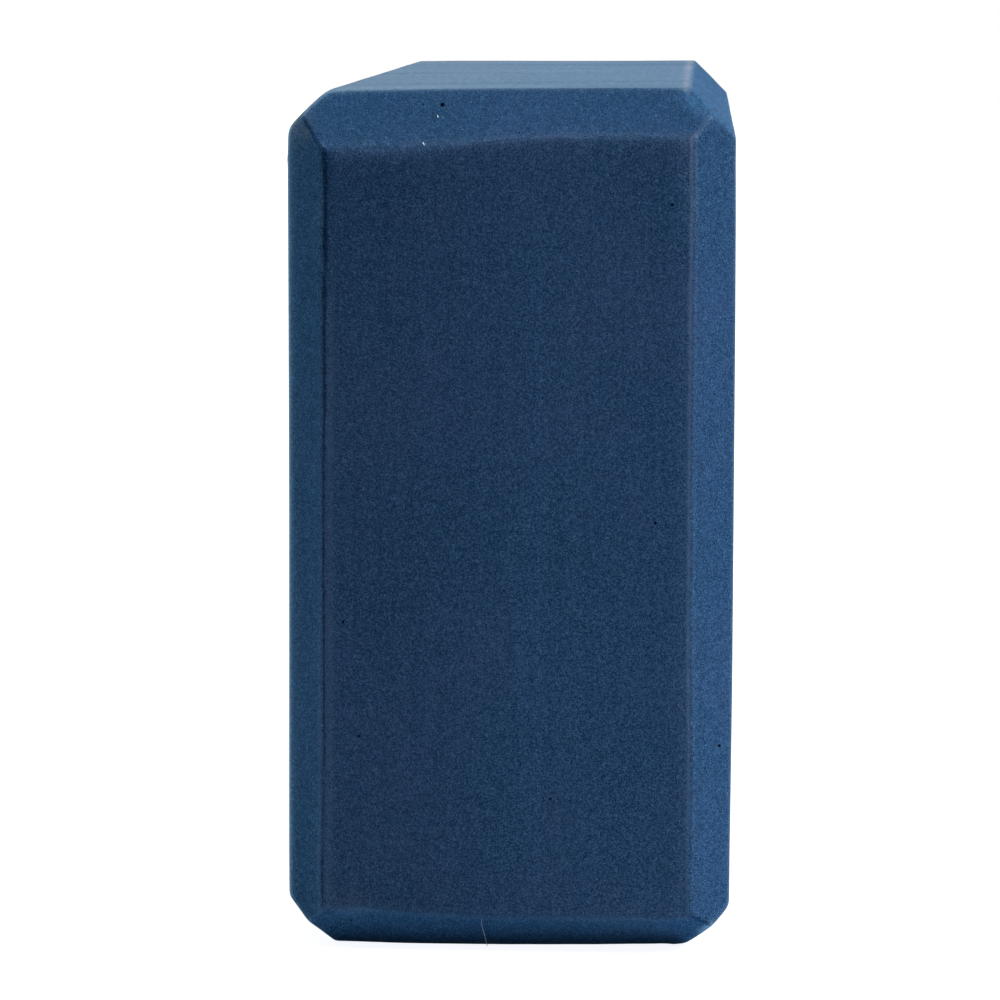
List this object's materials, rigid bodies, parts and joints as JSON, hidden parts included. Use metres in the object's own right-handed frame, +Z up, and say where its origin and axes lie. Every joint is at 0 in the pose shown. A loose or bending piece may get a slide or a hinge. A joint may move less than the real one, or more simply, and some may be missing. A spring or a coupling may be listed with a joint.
{
  "type": "foam block",
  "caption": "Firm closed-cell foam block with bevelled edges, standing on its long narrow side, to support, prop or pad things.",
  "frame": {"origin": "middle of the base, on the surface that the block stands on", "axes": "+Z up, +Y along the block's length towards its back end, +X across its width towards its right side"},
  "size_m": [0.0774, 0.229, 0.15],
  "materials": {
    "foam": "matt closed-cell foam, fine skived grain"
  },
  "bodies": {
    "root": {"foam_block": "foam"}
  },
  "joints": []
}
